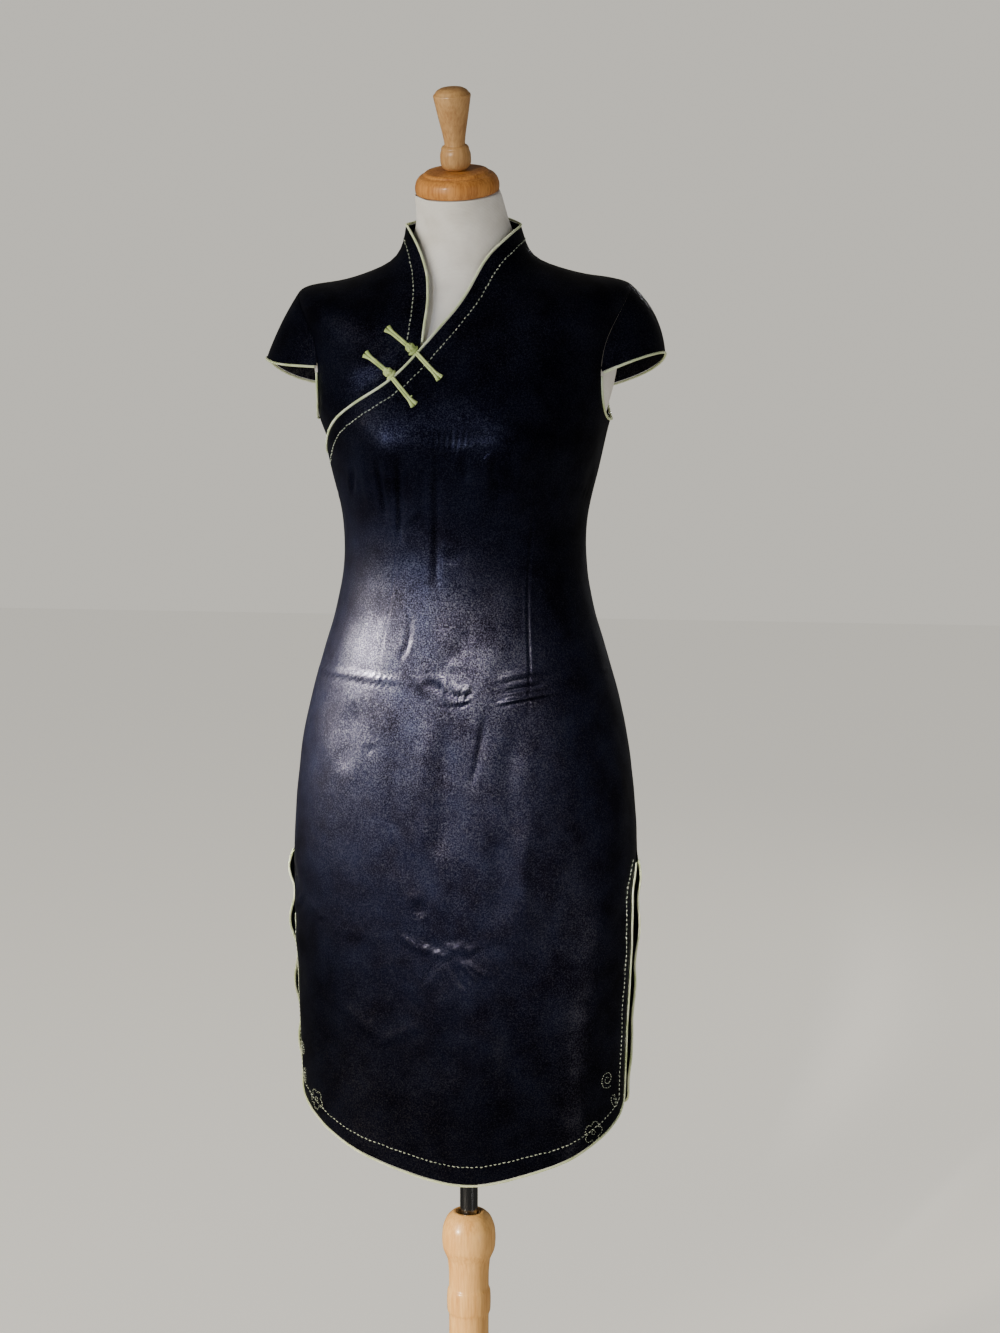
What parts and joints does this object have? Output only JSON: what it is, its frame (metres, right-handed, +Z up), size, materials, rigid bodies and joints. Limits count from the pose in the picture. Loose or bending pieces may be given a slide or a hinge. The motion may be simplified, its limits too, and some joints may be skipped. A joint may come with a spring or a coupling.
{
  "type": "cheongsam dress on a limbless dress form with stand",
  "caption": "Cheongsam dress with cap sleeves, crossed-over front, side slits and curved hem, on a jersey-covered limbless dress form with a turned wooden stand.",
  "frame": {"origin": "middle of the base's flat underside, where the stand meets the floor", "axes": "+Z up along the rod; the wearer faces -Y and the wearer's left is +X"},
  "size_m": [0.4292, 0.32, 1.6035],
  "materials": {
    "satin": "near-black navy satin, soft sheen",
    "trim_cord": "pale green satin-covered piping cord",
    "knot_cord": "green satin cord for the knotted fastenings",
    "jersey": "off-white fine-knit jersey",
    "turned_maple": "clear-varnished turned maple",
    "rod_steel": "bright drawn steel"
  },
  "bodies": {
    "root": {"back": "satin", "base": "turned_maple", "finial": "turned_maple", "form_torso": "jersey", "frog_lower_button": "knot_cord", "frog_lower_loop": "knot_cord", "frog_upper_button": "knot_cord", "frog_upper_loop": "knot_cord", "front_main": "satin", "front_right_yoke": "satin", "neck_cap": "turned_maple", "piping_armhole_left": "trim_cord", "piping_armhole_right": "trim_cord", "piping_back_collar": "trim_cord", "piping_back_hem": "trim_cord", "piping_front_edge": "trim_cord", "piping_front_hem": "trim_cord", "piping_sleeve_left": "trim_cord", "piping_sleeve_right": "trim_cord", "piping_yoke_neck": "trim_cord", "post": "turned_maple", "rod": "rod_steel", "sleeve_left": "satin", "sleeve_right": "satin"}
  },
  "joints": []
}
